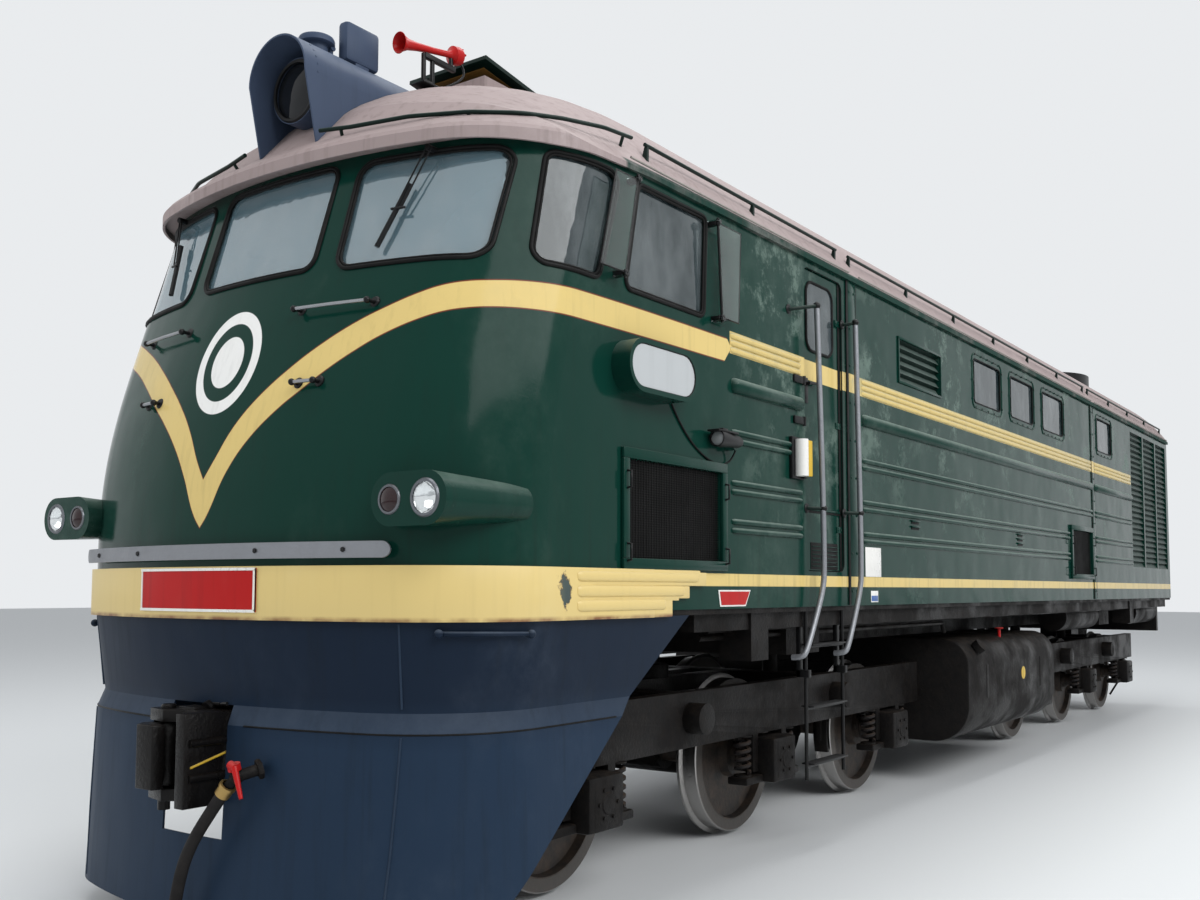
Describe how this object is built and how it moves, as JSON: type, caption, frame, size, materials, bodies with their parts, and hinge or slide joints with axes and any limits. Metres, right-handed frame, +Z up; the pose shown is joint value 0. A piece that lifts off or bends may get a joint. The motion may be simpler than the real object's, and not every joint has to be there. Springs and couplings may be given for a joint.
{
  "type": "diesel locomotive",
  "caption": "Six-axle diesel locomotive with a rounded nose cab, hollow body, two swivelling bogies, opening doors, roof hatch and knuckle couplers.",
  "frame": {"origin": "rail top on the centre line, midway between the coupling faces", "axes": "+Y runs from nose to tail, so the nose faces -Y; +Z is up; +X is the left-hand side of the locomotive"},
  "size_m": [3.3106, 16.685, 4.9198],
  "materials": {
    "green_paint": "gloss",
    "roof_paint": "matte",
    "skirt_paint": "satin",
    "cream_paint": "satin",
    "red_paint": "gloss",
    "black_iron": "rough",
    "wheel_steel": "worn",
    "steel": "worn",
    "machine_paint": "satin",
    "cab_paint": "satin",
    "rubber": "matte",
    "window_glass": "clear",
    "lamp_glass": "clear"
  },
  "bodies": {
    "body": {"air_reservoirs": "black_iron", "brake_hose": "rubber", "cab_bulkhead": "cab_paint", "cab_fittings": "cab_paint", "cab_roof": "roof_paint", "cab_shell": "green_paint", "couplers": "black_iron", "engine_roof": "roof_paint", "engine_room_walls": "green_paint", "front_plate": "red_paint", "front_skirt": "skirt_paint", "fuel_tank": "black_iron", "grab_irons": "steel", "handrails": "steel", "headlamp": "skirt_paint", "headlamp_hood": "skirt_paint", "hood_fittings": "skirt_paint", "horn": "red_paint", "hose_cock": "red_paint", "hose_fitting": "steel", "lamp_glasses": "lamp_glass", "machinery": "machine_paint", "marker_lamps": "green_paint", "nose_band": "cream_paint", "nose_bar": "steel", "number_boxes": "green_paint", "radiator_roof": "roof_paint", "radiator_walls": "green_paint", "roof_collars": "machine_paint", "roof_rails": "green_paint", "side_beads": "green_paint", "side_louvres": "green_paint", "side_meshes": "green_paint", "side_windows": "window_glass", "underframe": "black_iron", "wind_deflectors": "window_glass", "windscreens": "window_glass", "wipers": "black_iron"},
    "front_bogie": {"front_bogie_frame": "black_iron", "front_suspension": "black_iron", "front_motors": "black_iron", "front_brake_gear": "black_iron"},
    "rear_bogie": {"rear_bogie_frame": "black_iron", "rear_suspension": "black_iron", "rear_motors": "black_iron", "rear_brake_gear": "black_iron"},
    "left_door": {"left_door": "green_paint"},
    "right_door": {"right_door": "green_paint"},
    "rear_door": {"rear_door": "green_paint"},
    "front_knuckle": {"front_knuckle": "black_iron"},
    "rear_knuckle": {"rear_knuckle": "black_iron"},
    "roof_hatch": {"roof_hatch": "green_paint"},
    "radiator_fan": {"radiator_fan": "machine_paint"},
    "wheelset_1": {"wheelset_1": "wheel_steel"},
    "wheelset_2": {"wheelset_2": "wheel_steel"},
    "wheelset_3": {"wheelset_3": "wheel_steel"},
    "wheelset_4": {"wheelset_4": "wheel_steel"},
    "wheelset_5": {"wheelset_5": "wheel_steel"},
    "wheelset_6": {"wheelset_6": "wheel_steel"}
  },
  "joints": [
    {"name": "front_bogie_swivel", "type": "hinge", "parent": "body", "child": "front_bogie", "pos_m": [0, -4.3, 1], "axis": [0, 0, 1], "range_deg": [-3, 3]},
    {"name": "rear_bogie_swivel", "type": "hinge", "parent": "body", "child": "rear_bogie", "pos_m": [0, 4.3, 1], "axis": [0, 0, 1], "range_deg": [-3, 3]},
    {"name": "left_door_hinge", "type": "hinge", "parent": "body", "child": "left_door", "pos_m": [1.465, -4.03, 2.8], "axis": [0, 0, -1], "range_deg": [0, 90]},
    {"name": "right_door_hinge", "type": "hinge", "parent": "body", "child": "right_door", "pos_m": [-1.465, -4.03, 2.8], "axis": [0, 0, 1], "range_deg": [0, 90]},
    {"name": "rear_door_hinge", "type": "hinge", "parent": "body", "child": "rear_door", "pos_m": [0.33, 7.628, 2.56], "axis": [0, 0, 1], "range_deg": [0, 90]},
    {"name": "front_knuckle_pin", "type": "hinge", "parent": "body", "child": "front_knuckle", "pos_m": [-0.125, -8.185, 0.88], "axis": [0, 0, -1], "range_deg": [0, 40]},
    {"name": "rear_knuckle_pin", "type": "hinge", "parent": "body", "child": "rear_knuckle", "pos_m": [0.125, 8.185, 0.88], "axis": [0, 0, -1], "range_deg": [0, 40]},
    {"name": "roof_hatch_hinge", "type": "hinge", "parent": "body", "child": "roof_hatch", "pos_m": [0, -5.855, 4.805], "axis": [-1, 0, 0], "range_deg": [-8, 82]},
    {"name": "radiator_fan_shaft", "type": "hinge", "parent": "body", "child": "radiator_fan", "pos_m": [0, 6.37, 4.43], "axis": [0, 0, 1], "continuous": true},
    {"name": "axle_1_turn", "type": "hinge", "parent": "front_bogie", "child": "wheelset_1", "pos_m": [0, -6.4, 0.525], "axis": [1, 0, 0], "continuous": true},
    {"name": "axle_2_turn", "type": "hinge", "parent": "front_bogie", "child": "wheelset_2", "pos_m": [0, -4.3, 0.525], "axis": [1, 0, 0], "continuous": true},
    {"name": "axle_3_turn", "type": "hinge", "parent": "front_bogie", "child": "wheelset_3", "pos_m": [0, -2.2, 0.525], "axis": [1, 0, 0], "continuous": true},
    {"name": "axle_4_turn", "type": "hinge", "parent": "rear_bogie", "child": "wheelset_4", "pos_m": [0, 2.2, 0.525], "axis": [1, 0, 0], "continuous": true},
    {"name": "axle_5_turn", "type": "hinge", "parent": "rear_bogie", "child": "wheelset_5", "pos_m": [0, 4.3, 0.525], "axis": [1, 0, 0], "continuous": true},
    {"name": "axle_6_turn", "type": "hinge", "parent": "rear_bogie", "child": "wheelset_6", "pos_m": [0, 6.4, 0.525], "axis": [1, 0, 0], "continuous": true}
  ]
}
